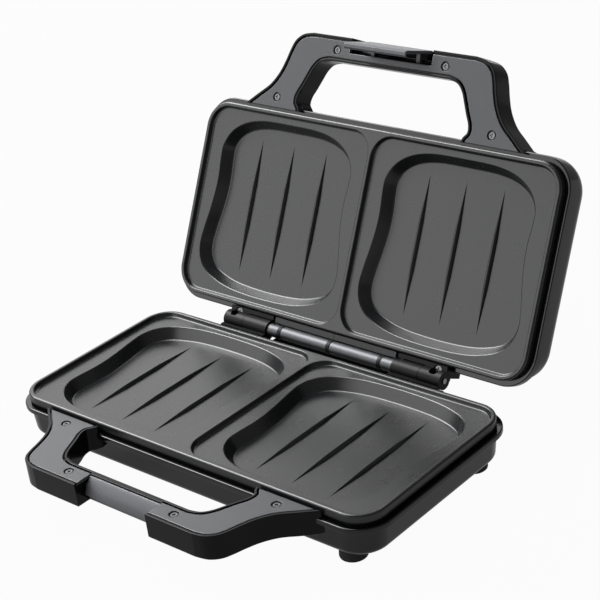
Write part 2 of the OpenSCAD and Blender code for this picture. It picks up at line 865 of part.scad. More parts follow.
module lid_hinge_brackets() color(shell_black) in_lid() turned_over()
    brackets(bracket_split + side_gap, bracket_out, bracket_in, bracket_split + 1,
        hinge_pin_r + run_fit, lid_rim_drop, rim_back_y - lid_back_in)
        translate([bracket_screw[0], bracket_screw[1], bracket_screw_z]) {
            cylinder(h = 8, r = bracket_head_r + 0.6);
            translate([0, 0, -1.8]) cylinder(h = 2, r = handle_screw_r);
        }

// One screw in each lid bracket, in view beside the plate when the lid is open
module lid_bracket_screws() color(steel) in_lid() turned_over()
    both_sides()
    translate([bracket_screw[0], bracket_screw[1], bracket_screw_z])
    pan_screw(bracket_head_r, flat_head_h, handle_screw_r, 1.7);

// Two long steel sleeves that turn with the lid
module hinge_sleeves() color(steel) in_lid()
    both_sides()
    along_hinge(spacer_half + sleeve_gap, spacer_x - spacer_half - sleeve_gap)
    translate([hinge_y, 0])
    difference() {
        circle(sleeve_r);
        circle(hinge_pin_r + run_fit);
    }

// Sheet-metal leaf behind the lid's plate, with a lip that reaches round behind each sleeve
module lid_hinge_leaf() color(plate_grey) in_lid()
    both_sides()
    along_hinge(leaf_seam / 2, bracket_in - 2)
    polygon([
        [bracket_shelf_y, 0.6], [leaf_edge_y, 0.6], [leaf_edge_y, leaf_z], [leaf_end_y, leaf_z],
        [leaf_end_y, leaf_z + leaf_t], [rim_back_y + leaf_t, leaf_z + leaf_t],
        [rim_back_y + leaf_t, rim_under - 0.1], [rim_back_y, rim_under - 0.1],
        [rim_back_y, lid_rim_drop - 0.1], [bracket_shelf_y, lid_rim_drop - 0.1]
    ]);

module lamp_lenses() color("#8a2a22") in_lid()
    for (x = [-lamp_x, lamp_x])
        translate([x, lamp_y, housing_floor])
        rotate_extrude()
        polygon([[0, 0], [lens_r - 0.05, 0], [lens_r - 0.05, housing_wall],
            [lens_r - 0.8, housing_wall + 0.8], [0, housing_wall + 1.2]]);

module indicator_lamps() color("#d9b26a") in_lid()
    for (x = [-lamp_x, lamp_x])
        translate([x, lamp_y, housing_floor - 7])
        cylinder(h = 6.8, r = 2.4);

module lid_wires() color("#8c2f22") in_lid() {
    z = reflector_top + lead_below;
    bar([[lamp_x, lamp_y + 2.7, z - 1.2], [lamp_x + 1, lamp_y + 6, z], [30, -30, z], [60, -24, z],
        [100, -20, z], [122, -22, z], [130, -25, z - 2], [132, -28.5, element_z],
        [129, -element_leg_y, element_z]], lead_r, 8);
    bar([[-lamp_x, lamp_y + 2.7, z - 1.2], [-lamp_x - 1, lamp_y + 6, z], [-14, -20, z], [0, 10, z],
        [60, 24, z], [100, 24, z], [122, 24, z], [130, 26, z - 2], [132, 28.5, element_z],
        [129, element_leg_y, element_z]], lead_r, 8);
}

module latch_pin() color(steel) in_lid()
    along_hinge(-latch_recess - 2.5, latch_recess + 2.5)
    translate([latch_pin_y, latch_pin_z]) circle(latch_pin_r);

// Torsion spring round the latch pin, between the latch's ears
module latch_spring() color(steel) in_lid() {
    coil_r = 2.4;
    wire_r = 0.4;
    turns = 7;
    half = 6;
    steps = 12;
    coil = [
        for (k = [0 : turns * steps]) let (a = 360 * k / steps + 90)
            [-half + 2 * half * k / (turns * steps),
                latch_pin_y + coil_r * cos(a), latch_pin_z + coil_r * sin(a)]
    ];
    apart = [
        for (i = [0 : len(coil) - 1 - steps / 2], j = [i + steps / 2 : len(coil) - 1])
            norm(coil[i] - coil[j])
    ];
    echo(least_gap_between_turns = min(apart) - 2 * wire_r);
    bar(coil, wire_r, 6, [1, 0, 0]);
}

// The latch: a spring-loaded plate on the pin, with a hook that snaps under the catch
module latch() color(latch_grey) in_lid()
    translate([0, latch_pin_y, latch_pin_z])
    rotate([latch_rest, 0, 0])
    translate([0, -latch_pin_y, -latch_pin_z])
    difference() {
        union() {
            along_hinge(-latch_half, latch_half)
                polygon([
                    [latch_front, latch_top - 1], [latch_front + 1, latch_top],
                    [latch_front + latch_plate_t, latch_top],
                    [latch_front + latch_plate_t, hook_top],
                    [hook_tip_y, hook_top], [hook_tip_y, hook_top - 0.4],
                    [hook_tip_y - 1.2, hook_bottom], [latch_front + 1, hook_bottom],
                    [latch_front, hook_bottom + 1.5]
                ]);
            both_sides()
                along_hinge(ear_x, ear_x + ear_t) {
                    translate([latch_pin_y, latch_pin_z]) circle(latch_pin_r + 2);
                    translate([latch_front + 1, latch_top - ear_h])
                        square([latch_pin_y - latch_front - 1, ear_h]);
                }
        }
        along_hinge(-latch_half - 1, latch_half + 1)
            translate([latch_pin_y, latch_pin_z]) circle(latch_pin_r + run_fit);
    }

base_housing();
lower_plate();
lower_heating_element();
lower_element_clips();
lower_reflector();
lower_plate_screws();
lower_handle();
lower_handle_covers();
lower_handle_screws();
latch_catch();
rubber_feet();
base_hinge_brackets();
base_bracket_screws();
hinge_pin();
hinge_spacers();
hinge_end_bushes();
thermostat();
thermostat_clip();
thermal_fuse();
terminal_block();
internal_wires();
cord_gland();
lid_housing();
upper_plate();
upper_heating_element();
upper_element_clips();
upper_reflector();
upper_plate_screws();
upper_handle();
upper_handle_cover();
upper_handle_screws();
lid_hinge_brackets();
lid_bracket_screws();
hinge_sleeves();
lid_hinge_leaf();
lamp_lenses();
indicator_lamps();
lid_wires();
latch_pin();
latch_spring();
latch();
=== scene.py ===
import math

import bmesh
import bpy
from mathutils import Matrix, Vector


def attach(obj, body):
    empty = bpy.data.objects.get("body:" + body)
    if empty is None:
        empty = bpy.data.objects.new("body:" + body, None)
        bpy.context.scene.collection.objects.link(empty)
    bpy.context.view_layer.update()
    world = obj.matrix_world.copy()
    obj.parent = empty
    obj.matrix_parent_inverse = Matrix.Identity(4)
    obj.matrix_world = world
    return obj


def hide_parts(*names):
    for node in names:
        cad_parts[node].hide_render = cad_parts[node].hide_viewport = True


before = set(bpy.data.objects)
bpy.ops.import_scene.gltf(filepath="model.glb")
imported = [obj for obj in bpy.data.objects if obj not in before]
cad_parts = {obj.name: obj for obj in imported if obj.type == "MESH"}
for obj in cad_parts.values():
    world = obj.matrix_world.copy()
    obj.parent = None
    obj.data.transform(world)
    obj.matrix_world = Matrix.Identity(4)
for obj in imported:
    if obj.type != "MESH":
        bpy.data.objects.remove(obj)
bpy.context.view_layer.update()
bpy.context.scene.view_settings.view_transform = "Standard"

# Camera: the photograph looks down from the front right, held a little turned, with a long lens.
camera_data = bpy.data.cameras.new("camera")
camera_data.sensor_width = 36.0
camera_data.lens = 99.8
camera_data.shift_x = -0.0524
camera_data.shift_y = -0.0383
camera_data.clip_start = 0.05
camera_data.clip_end = 30.0
camera = bpy.data.objects.new("camera", camera_data)
bpy.context.collection.objects.link(camera)
azimuth = math.radians(43.171)
elevation = math.radians(25.487)
roll = math.radians(-7.2)
looking = Vector((
    -math.sin(azimuth) * math.cos(elevation),
    math.cos(azimuth) * math.cos(elevation),
    -math.sin(elevation),
))
level_right = Vector((math.cos(azimuth), math.sin(azimuth), 0.0))
level_up = level_right.cross(looking)
right = level_right * math.cos(roll) + level_up * math.sin(roll)
up = level_up * math.cos(roll) - level_right * math.sin(roll)
turn = Matrix((right, up, -looking)).transposed()
camera.matrix_world = Matrix.Translation((0.65493, -0.64343, 0.53989)) @ turn.to_4x4()
bpy.context.scene.camera = camera


# Base housing: glossy black phenolic, moulded in one piece, and carried by four rubber feet.
# Its rim goes round the cooking plate's skirt, the body is set in under the rim, and a shelf
# under the hinge closes the gap behind the tubes.
def linear(text):
    """A colour written as sRGB hex, turned to linear values."""
    values = [int(text[i:i + 2], 16) / 255 for i in (0, 2, 4)]
    values = [v / 12.92 if v <= 0.04045 else ((v + 0.055) / 1.055) ** 2.4 for v in values]
    return (*values, 1.0)


def add_node(tree, kind, settings=None, links=None):
    """Adds a node. Settings go to its sockets or attributes, and links are (socket, source)."""
    node = tree.nodes.new(kind)
    for key, value in (settings or {}).items():
        if isinstance(key, int) or key in node.inputs:
            node.inputs[key].default_value = value
        else:
            setattr(node, key, value)
    for key, source in (links or {}).items():
        tree.links.new(source, node.inputs[key])
    return node


def finish_material(name, dark, light, rough, grain_mm, relief_mm, metal=0.0, stretch=(1, 1, 1),
                    patch_mm=18.0, relief=0.4, coat=0.0, shine=0.5):
    """A finish in two close tones, with a fine grain of real size in its relief and its gloss.

    dark and light are the ends of its colour, rough the ends of its roughness. The grain is
    grain_mm across and relief_mm high, drawn out by stretch, and the tones drift over patch_mm.
    """
    material = bpy.data.materials.new(name)
    material.use_nodes = True
    tree = material.node_tree
    tree.nodes.clear()
    place = add_node(tree, "ShaderNodeTexCoord")
    drawn = add_node(tree, "ShaderNodeMapping", {"Scale": stretch},
                     {"Vector": place.outputs["Object"]})
    grain = add_node(tree, "ShaderNodeTexNoise", {"Scale": 1000 / grain_mm, "Detail": 3.0},
                     {"Vector": drawn.outputs[0]})
    patch = add_node(tree, "ShaderNodeTexNoise", {"Scale": 1000 / patch_mm, "Detail": 2.0},
                     {"Vector": place.outputs["Object"]})
    mixed = add_node(tree, "ShaderNodeMath", {"operation": "ADD"},
                     {0: grain.outputs["Fac"], 1: patch.outputs["Fac"]})
    half = add_node(tree, "ShaderNodeMath", {"operation": "MULTIPLY", 1: 0.5},
                    {0: mixed.outputs[0]})
    tone = add_node(tree, "ShaderNodeMix",
                    {"data_type": "RGBA", 6: linear(dark), 7: linear(light)},
                    {0: half.outputs[0]})
    gloss = add_node(tree, "ShaderNodeMapRange", {"To Min": rough[0], "To Max": rough[1]},
                     {"Value": half.outputs[0]})
    bump = add_node(tree, "ShaderNodeBump", {"Strength": relief, "Distance": relief_mm / 1000},
                    {"Height": grain.outputs["Fac"]})
    surface = add_node(tree, "ShaderNodeBsdfPrincipled",
                       {"Metallic": metal, "Coat Weight": coat, "Coat Roughness": 0.08,
                        "Specular IOR Level": shine},
                       {"Base Color": tone.outputs[2], "Roughness": gloss.outputs[0],
                        "Normal": bump.outputs[0]})
    add_node(tree, "ShaderNodeOutputMaterial", {}, {"Surface": surface.outputs[0]})
    return material


hinge_y = 76.5
to_base = Matrix.Translation((0, -0.03033, 0.0365)) @ Matrix.Scale(0.001, 4)
lid_angle = math.radians(117)
to_lid = (to_base @ Matrix.Translation((0, hinge_y, 0)) @ Matrix.Rotation(-lid_angle, 4, "X")
          @ Matrix.Translation((0, -hinge_y, 0)))
turned_over = Matrix.Scale(-1, 4, (0, 0, 1))


def link_object(name, mesh):
    obj = bpy.data.objects.new(name, mesh)
    bpy.context.collection.objects.link(obj)
    return obj


def piece(name, mesh, material, body, nodes, place=to_base, bevel=0.0):
    """Makes an object of a bmesh in millimetres, puts it in place, and rides it on its body."""
    mesh.transform(place)
    bmesh.ops.recalc_face_normals(mesh, faces=mesh.faces)
    for face in mesh.faces:
        face.smooth = True
    for edge in mesh.edges:
        edge.smooth = len(edge.link_faces) == 2 and edge.calc_face_angle() < math.radians(35)
    data = bpy.data.meshes.new(name)
    mesh.to_mesh(data)
    mesh.free()
    data.materials.append(material)
    obj = link_object(name, data)
    if bevel:
        rounding = obj.modifiers.new("rounding", "BEVEL")
        rounding.width = bevel / 1000
        rounding.segments = 3
        rounding.limit_method = "ANGLE"
        rounding.angle_limit = math.radians(35)
        rounding.harden_normals = True
    else:
        obj.modifiers.new("normals", "WEIGHTED_NORMAL").keep_sharp = True
    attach(obj, body)
    if nodes:
        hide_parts(*nodes)
    return obj


def rounded(width, depth, radius, steps=12, shift=0.0):
    """The outline of a rectangle with round corners, anticlockwise."""
    points = []
    for corner, (sx, sy) in enumerate(((1, 1), (-1, 1), (-1, -1), (1, -1))):
        for k in range(steps + 1):
            angle = math.pi / 2 * (corner + k / steps)
            points.append((sx * (width / 2 - radius) + radius * math.cos(angle),
                           shift + sy * (depth / 2 - radius) + radius * math.sin(angle)))
    return points


def add_ring(mesh, outline, height):
    return [mesh.verts.new((x, y, height)) for x, y in outline]


def join_rings(mesh, first, second):
    count = len(first)
    for i in range(count):
        j = (i + 1) % count
        mesh.faces.new((first[i], first[j], second[j], second[i]))


def loft(mesh, sections, close_first=True, close_last=True):
    """Skins like outlines, each (outline, height), and returns their vertices."""
    rings = [add_ring(mesh, outline, height) for outline, height in sections]
    for first, second in zip(rings, rings[1:]):
        join_rings(mesh, first, second)
    if close_first:
        mesh.faces.new(rings[0])
    if close_last:
        mesh.faces.new(rings[-1])
    return rings


def quarter(radius, steps=5):
    """(inset, drop) pairs that turn a flat top into an upright side."""
    turns = [math.pi / 2 * k / steps for k in range(steps + 1)]
    return [(radius * (1 - math.sin(t)), radius * (1 - math.cos(t))) for t in turns]


plate_w, plate_d, plate_corner = 290.0, 134.0, 18.0
rim_out, rim_under, skirt_h, lip_overhang = 3.5, 10.5, 10.0, 1.4
housing_depth, housing_wall = 28.0, 2.5


def housing(drop, side_in, back_in, edge, draft):
    """A housing as it lies in the base, as a closed shell in millimetres."""
    mesh = bmesh.new()
    rim_w, rim_d, corner = plate_w + 2 * rim_out, plate_d + 2 * rim_out, plate_corner + rim_out

    def rim(inset):
        return rounded(rim_w - 2 * inset, rim_d - 2 * inset, corner - inset)

    def body(inset, lean=0.0):
        side, back = side_in + inset, back_in + inset
        return rounded(rim_w - 2 * side - 2 * lean, rim_d - side - back, corner - side,
                       shift=(side - back) / 2)

    mouth = rim_out + lip_overhang - 0.3
    sections = [(body(edge, draft), -housing_depth + housing_wall),
                (body(housing_wall, draft), -housing_depth + edge),
                (body(housing_wall), -skirt_h - 3)]
    sections += [(rim(mouth), -skirt_h), (rim(mouth), -drop - 0.4), (rim(mouth - 0.4), -drop)]
    sections += [(rim(i), -drop - z) for i, z in quarter(0.7, 4)]
    if side_in:
        sections += [(rim(i), -rim_under + z) for i, z in reversed(quarter(0.5, 3))]
    else:
        sections += [(rim(0), -rim_under)]
    sections += [(body(0), -rim_under - 0.02)]
    sections += [(body(i, draft), -housing_depth + z) for i, z in reversed(quarter(edge, 8))]
    loft(mesh, sections)
    return mesh


gloss_black = finish_material("gloss_black", "08080a", "0f0f11", (0.09, 0.14), 1.6, 0.004,
                              relief=0.25, shine=0.42)
base_mesh = housing(7.0, 3.0, 4.25, 4.5, 2.0)
shelf = bmesh.ops.create_cube(base_mesh, size=1.0)["verts"]
bmesh.ops.scale(base_mesh, vec=(104, 10, 2), verts=shelf)
bmesh.ops.translate(base_mesh, vec=(0, 75, -8.4), verts=shelf)
piece("base_shell", base_mesh, gloss_black, "base", ["base_housing"])


# Cooking plates: die-cast aluminium with a dark grey non-stick coating, sprayed and baked.
# Each has a rounded lip, two shallow pads, a deep bread pocket in each pad, and three ribs in
# each pocket that taper to a point at both ends.
lip_top, lip_w, ridge_w, pad_depth, pad_corner = -0.25, 3.4, 3.4, 3.2, 14.5
pocket_x, pocket_depth, plate_wall = 71.5, 11.0, 2.0
rib_pitch, rib_len, rib_half, rib_h = 28.5, 90.0, 1.7, 2.1
pocket_half = [
    (0, -58.5), (24, -58), (40, -54.5), (51, -47.5), (56.5, -38), (57, -29), (56, -16),
    (56.3, -5), (58, 8), (60.5, 22), (61.5, 33), (59, 42.5), (52, 50), (40, 55), (24, 58), (0, 59),
]


def blend_point(a, b, c, d, t):
    """A point of the smooth curve between b and c, with a before and d after them."""
    return tuple(
        0.5 * (2 * q + (r - p) * t + (2 * p - 5 * q + 4 * r - s) * t * t
               + (3 * q - p - 3 * r + s) * t ** 3)
        for p, q, r, s in zip(a, b, c, d))


def smooth_open(points, steps):
    last = len(points) - 1
    curve = [
        blend_point(points[max(i - 1, 0)], points[i], points[i + 1], points[min(i + 2, last)],
                    k / steps)
        for i in range(last) for k in range(steps)]
    return curve + [tuple(float(v) for v in points[-1])]


def smooth_closed(points, steps):
    count = len(points)
    return [
        blend_point(points[i - 1], points[i], points[(i + 1) % count], points[(i + 2) % count],
                    k / steps)
        for i in range(count) for k in range(steps)]


def flip_x(points):
    return [(-x, y) for x, y in reversed(points)]


def by_angle(outline, centre, count=288):
    """The outline met by even rays from the centre, so that two outlines can be skinned."""
    found = []
    size = len(outline)
    for k in range(count):
        angle = 2 * math.pi * k / count
        dx, dy = math.cos(angle), math.sin(angle)
        for i in range(size):
            ax, ay = outline[i][0] - centre[0], outline[i][1] - centre[1]
            bx, by = outline[(i + 1) % size][0] - centre[0], outline[(i + 1) % size][1] - centre[1]
            side_a, side_b = dx * ay - dy * ax, dx * by - dy * bx
            if side_a > 0 or side_b <= 0:
                continue
            t = side_a / (side_a - side_b)
            px, py = ax + (bx - ax) * t, ay + (by - ay) * t
            if px * dx + py * dy > 0:
                found.append((px + centre[0], py + centre[1]))
                break
    return found


def inset(outline, distance):
    """The anticlockwise outline drawn in by a distance, or by one distance for each edge."""
    count = len(outline)
    given = distance if isinstance(distance, list) else [distance] * count
    normals = []
    for i in range(count):
        ax, ay = outline[i]
        bx, by = outline[(i + 1) % count]
        length = math.hypot(bx - ax, by - ay)
        normals.append((-(by - ay) / length, (bx - ax) / length))
    moved = []
    for i in range(count):
        (ax, ay), (bx, by) = normals[i - 1], normals[i]
        da, db = given[i - 1], given[i]
        shared = ax * bx + ay * by
        if shared > 0.9999:
            px, py = bx * db, by * db
        else:
            spread = 1 - shared * shared
            px = (da * (ax - bx * shared) + db * (bx - ax * shared)) / spread
            py = (da * (ay - by * shared) + db * (by - ay * shared)) / spread
        moved.append((outline[i][0] + px, outline[i][1] + py))
    return moved


def fill(mesh, *rings):
    """Fills the flat area inside the first ring and outside the others."""
    edges = []
    for ring in rings:
        for i, vertex in enumerate(ring):
            pair = (vertex, ring[(i + 1) % len(ring)])
            edges.append(mesh.edges.get(pair) or mesh.edges.new(pair))
    bmesh.ops.triangle_fill(mesh, edges=edges, use_beauty=True)


def rib(mesh, middle_x):
    """A ridge along the pocket's floor, in 40 steps, flat under the floor and keen on top."""
    profile = [(-1, -0.3), (-1, 0.0), (-0.6, 0.72), (-0.12, 1.0), (0.12, 1.0), (0.6, 0.72),
               (1, 0.0), (1, -0.3)]
    rings = []
    for k in range(41):
        y = rib_len * (k / 40 - 0.5)
        left = max(0.02, min(1.0, (rib_len / 2 - abs(y)) / 30))
        rings.append([
            mesh.verts.new((middle_x + rib_half * left * u, y,
                            -pocket_depth + rib_h * left ** 0.8 * v))
            for u, v in profile])
    for first, second in zip(rings, rings[1:]):
        join_rings(mesh, first, second)
    mesh.faces.new(rings[0])
    mesh.faces.new(rings[-1])


def casting():
    """A cooking plate as it lies in the base, as a closed casting in millimetres."""
    mesh = bmesh.new()

    def outer(grow):
        return rounded(plate_w - 2 * grow, plate_d - 2 * grow, plate_corner - grow, 16)

    skirt = [(lip_overhang, -pad_depth - plate_wall), (lip_overhang, -skirt_h),
             (lip_overhang + plate_wall, -skirt_h),
             (lip_overhang + plate_wall, -pad_depth - plate_wall)]
    side = [(i, lip_top - z) for i, z in quarter(1.3)] + [(0, -pad_depth - plate_wall)] + skirt
    rings = loft(mesh, [(outer(i), z) for i, z in side], False, False)
    tops, unders = [rings[0]], [rings[-1]]
    pad_w = plate_w / 2 - lip_w - ridge_w / 2
    pad_x = ridge_w / 2 + pad_w / 2
    half = pocket_half + flip_x(pocket_half)[1:-1]
    for side_x in (-1, 1):
        centre = (side_x * pocket_x, 0)
        pocket = smooth_closed([(x + centre[0], y) for x, y in half], 6)
        pocket = by_angle(pocket, centre)
        pad = [(x + side_x * pad_x, y) for x, y in rounded(pad_w, plate_d - 2 * lip_w, pad_corner, 16)]
        pad = by_angle(pad, centre)
        step = [(-1.1, lip_top), (-0.7, lip_top - 0.08), (-0.4, lip_top - 0.35),
                (-0.25, lip_top - 0.9), (0.15, -pad_depth + 0.7), (0.4, -pad_depth + 0.25),
                (0.8, -pad_depth + 0.04), (1.2, -pad_depth)]
        wall = [(-0.9, -pad_depth), (-0.45, -pad_depth - 0.1), (-0.05, -pad_depth - 0.38),
                (0.25, -pad_depth - 0.85), (3.45, -pocket_depth + 1.3),
                (3.7, -pocket_depth + 0.75), (4.1, -pocket_depth + 0.3),
                (4.65, -pocket_depth + 0.07), (5.3, -pocket_depth)]
        rings = loft(mesh, [(inset(pad, i), z) for i, z in step]
                     + [(inset(pocket, i), z) for i, z in wall], False, True)
        tops.append(rings[0])
        under = [(-plate_wall, -pad_depth - plate_wall), (1.7, -pocket_depth - 0.4),
                 (5.2, -pocket_depth - plate_wall)]
        rings = loft(mesh, [(inset(pocket, i), z) for i, z in under], False, True)
        unders.append(rings[0])
        for k in (-1, 0, 1):
            rib(mesh, centre[0] + k * rib_pitch)
    fill(mesh, *tops)
    fill(mesh, *unders)
    return mesh


coating = finish_material("non_stick_coating", "1c1d1e", "27282a", (0.23, 0.3), 1.0, 0.035,
                          relief=0.55)
piece("lower_casting", casting(), coating, "base", ["lower_plate"])


# Handles: glossy black plastic channels, each screwed to the front of its housing from inside.
# Satin grey covers lie sunk inside the channel's rim, held by cross-head screws in
# counterbores. The base's catch splits its cover in two, and the lid's runs on behind the latch.
handle_reach, handle_depth, handle_drop = 122.0, 18.0, 2.0
bar_y, recess_y, root_y = -105.5, -108.7, -68.7
handle_half = [
    (120, -64), (112, -70.5), (104, -77), (95.5, -84), (89.5, -92.5), (86, -101), (83.5, -109),
    (80.5, -115.5), (74.5, -120.2), (66, -handle_reach),
]
gap_half = [
    (65, -63), (67, -71), (70, -75), (69.5, -80), (66.5, -86), (63.5, -92.5), (60.3, -99),
    (55.8, -103.6), (49, bar_y),
]
handle_screws = ((88, -76), (44, -113))
cover_top, seat_z, counterbore_r = -2.2, -4.2, 3.1
rim_strip, cover_in, cover_gap = 1.6, 2.6, 0.2


def cut_at(points, level):
    """The part of a falling curve below a level, with a point on the level itself."""
    for (ax, ay), (bx, by) in zip(points, points[1:]):
        if ay >= level > by:
            t = (ay - level) / (ay - by)
            return [(ax + (bx - ax) * t, level)] + [p for p in points if p[1] < level - 2.4]
    return points


def handle_outline(recess_half, back_y):
    """A handle's whole outline, clockwise from the right end of the bar's back edge."""
    outer = cut_at(smooth_open(handle_half, 6), root_y)
    gap = cut_at(smooth_open(gap_half, 6), root_y)
    right_side = list(reversed(gap)) + outer + [(recess_half, -handle_reach), (recess_half, back_y)]
    return right_side + flip_x(right_side)


def half_outline(recess_half, side_x):
    """One arm of a handle, cut off straight at the recess, anticlockwise."""
    outer = cut_at(smooth_open(handle_half, 6), root_y)
    gap = cut_at(smooth_open(gap_half, 6), root_y)
    points = outer + [(recess_half, -handle_reach), (recess_half, bar_y)] + list(reversed(gap))
    return list(reversed(points)) if side_x > 0 else flip_x(list(reversed(points)))


def drawn_in(outline, recess_half, side, cut):
    """The outline drawn in along its sides, and by another distance at its root and recess."""
    distances = []
    for (ax, ay), (bx, by) in zip(outline, outline[1:] + outline[:1]):
        at_root = min(ay, by) > root_y - 0.01
        at_recess = max(abs(ax), abs(bx)) < recess_half + 0.01
        distances.append(cut if at_root or at_recess else side)
    return inset(outline, distances)


def strips(recess_half, middle_wall):
    """The channel's raised rim: one strip down each outer side, and one along the gap."""
    outer = cut_at(smooth_open(handle_half, 6), root_y)
    gap = cut_at(smooth_open(gap_half, 6), root_y)
    whole = list(reversed(handle_outline(recess_half, recess_y)))
    inner = drawn_in(whole, recess_half, rim_strip, 0.0)
    count, arm = len(whole), len(gap) + len(outer) + 2
    pairs = list(reversed(list(zip(whole, inner))))
    right_outer = pairs[len(gap):arm - 1]
    left_outer = pairs[arm + 1:count - len(gap)]
    along_gap = pairs[count - len(gap):] + pairs[:len(gap)]
    bands = []
    for band in (right_outer, left_outer, along_gap):
        back = [p[1] for p in reversed(band)]
        if band is along_gap and middle_wall:
            middle = len(back) // 2
            wall = [(recess_half, back[middle][1]), (recess_half, recess_y),
                    (-recess_half, recess_y), (-recess_half, back[middle][1])]
            back = back[:middle] + wall + back[middle:]
        bands.append(list(reversed([p[0] for p in band] + back)))
    return bands


def channel(recess_half, bridge_y, drop, body_front):
    """A handle's shell as it lies in the base: a body up to the covers' seat, and its rim."""
    mesh = bmesh.new()

    def level(back_y, distance, height, front):
        ring = inset(list(reversed(handle_outline(recess_half, back_y))), distance)
        return [(x, front if y > root_y - distance - 0.1 else y) for x, y in ring], height

    sections = [level(bridge_y, 0, seat_z, root_y)]
    if bridge_y != recess_y:
        sections += [level(bridge_y, 0, -6.48, root_y), level(recess_y, 0, -6.5, root_y)]
    sections += [level(recess_y, 0, -drop - 0.1, root_y), level(recess_y, 0, -drop - 0.3, body_front)]
    sections.sort(key=lambda section: -section[1])
    sections += [level(recess_y, i, -handle_depth + z, body_front)
                 for i, z in reversed(quarter(1.2, 4))]
    loft(mesh, sections)
    if bridge_y != recess_y:
        floor = [(-recess_half, -handle_reach), (recess_half, -handle_reach),
                 (recess_half, recess_y), (-recess_half, recess_y)]
        loft(mesh, [(floor, -handle_depth + 2), (floor, -handle_depth + 1.2)]
             + [(inset(floor, [i, 0.0, 0.0, 0.0]), -handle_depth + z)
                for i, z in reversed(quarter(1.2, 4))])
    for band in strips(recess_half, bridge_y == recess_y):
        loft(mesh, [(inset(band, i), -handle_drop - z) for i, z in quarter(0.35, 3)]
             + [(band, seat_z)])
    return mesh


def circle(centre, radius, count=32):
    turns = [2 * math.pi * k / count for k in range(count)]
    return [(centre[0] + radius * math.cos(t), centre[1] + radius * math.sin(t)) for t in turns]


def covers(recess_half, bridge_y):
    """A handle's covers as they lie in the base, one or two, with their counterbores."""
    mesh = bmesh.new()
    if bridge_y == recess_y:
        outlines = [half_outline(recess_half, side_x) for side_x in (-1, 1)]
    else:
        outlines = [list(reversed(handle_outline(recess_half, bridge_y)))]
    for outline in outlines:
        edge = [(i, cover_top - z) for i, z in quarter(0.5, 4)] + [(0.05, seat_z)]
        rings = loft(mesh, [(drawn_in(outline, recess_half, cover_in + i, cover_gap + i), z)
                            for i, z in edge], False, True)
        bores = []
        for x, y in handle_screws:
            for side_x in (-1, 1):
                if len(outlines) == 2 and side_x * outline[0][0] < 0:
                    continue
                bore = [(counterbore_r + 0.3 - i, cover_top - z)
                        for i, z in ((0, 0), (0.18, 0.06), (0.3, 0.22))]
                bore += [(counterbore_r, cover_top - 1.5)]
                bores.append(loft(mesh, [(circle((side_x * x, y), r), z) for r, z in bore],
                                  False, True)[0])
        fill(mesh, rings[0], *bores)
    return mesh


satin_grey = finish_material("satin_grey", "45474a", "505154", (0.36, 0.44), 0.45, 0.02,
                             relief=0.35)
handle_black = finish_material("handle_black", "060607", "0b0b0c", (0.12, 0.17), 0.9, 0.006,
                               relief=0.25, shine=0.16)
piece("lower_handle_shell", channel(29.5, recess_y, 7.0, -67.4), handle_black, "base",
      ["lower_handle"])
piece("lower_covers", covers(29.5, recess_y), satin_grey, "base",
      ["lower_handle_covers"])

# Catch: a satin grey bar across the recess of the base handle, moulded and pressed in.
# Its two slopes push the latch's hook outward as the lid shuts.
latch_grey = finish_material("latch_grey", "5c5d61", "65666a", (0.4, 0.48), 0.35, 0.02, relief=0.35)


def bar_along_x(profile, start, end):
    """A straight bar along the hinge with a (y, z) profile, in millimetres."""
    mesh = bmesh.new()
    rings = [[mesh.verts.new((x, y, z)) for y, z in profile] for x in (start, end)]
    join_rings(mesh, *rings)
    mesh.faces.new(rings[0])
    mesh.faces.new(rings[1])
    return mesh


catch_profile = [
    (recess_y, -3), (-109.5, -3), (-113.5, -6.5), (-115.6, -12.4), (-115.6, -12.8), (-113.2, -12.8),
    (-113.2, -17), (recess_y, -17),
]
piece("catch_bar", bar_along_x(catch_profile, -29.4, 29.4), latch_grey, "base",
      ["latch_catch"], bevel=0.35)

# Feet: four soft black rubber buttons, pushed into the bottom of the base.
rubber = finish_material("rubber", "171718", "1e1e1f", (0.7, 0.85), 0.6, 0.03, relief=0.5)


def turned(profile, centre):
    """A round piece about an upright axis, from (radius, height) pairs, in millimetres."""
    mesh = bmesh.new()
    loft(mesh, [(circle(centre, radius, 48), height) for radius, height in profile])
    return mesh


foot_profile = [(7.5, -36.5), (8.0, -36.3), (8.3, -36.0), (8.5, -35.3), (8.0, -28.05)]
for number, (x, y) in enumerate(((-122, -55), (122, -55), (-128, 51.5), (128, 51.5))):
    piece("foot_%d" % (number + 1), turned(foot_profile, (x, y)), rubber, "base",
          ["rubber_feet"])

# Lid: its housing is shallower at the rim and rounder outside, and its plate and handle are the
# base's own, turned over. Two red lenses sit in its outer face.
lid_place = to_lid @ turned_over
piece("lid_shell", housing(5.4, 0.0, 3.75, 11.5, 0.0), gloss_black, "lid",
      ["lid_housing"], lid_place)
piece("upper_casting", casting(), coating, "lid", ["upper_plate"], lid_place)
piece("upper_handle_shell", channel(33, -112.3, 5.4, -70.4), handle_black, "lid",
      ["upper_handle"], lid_place)
piece("upper_cover", covers(33, -112.3), satin_grey, "lid",
      ["upper_handle_cover"], lid_place)

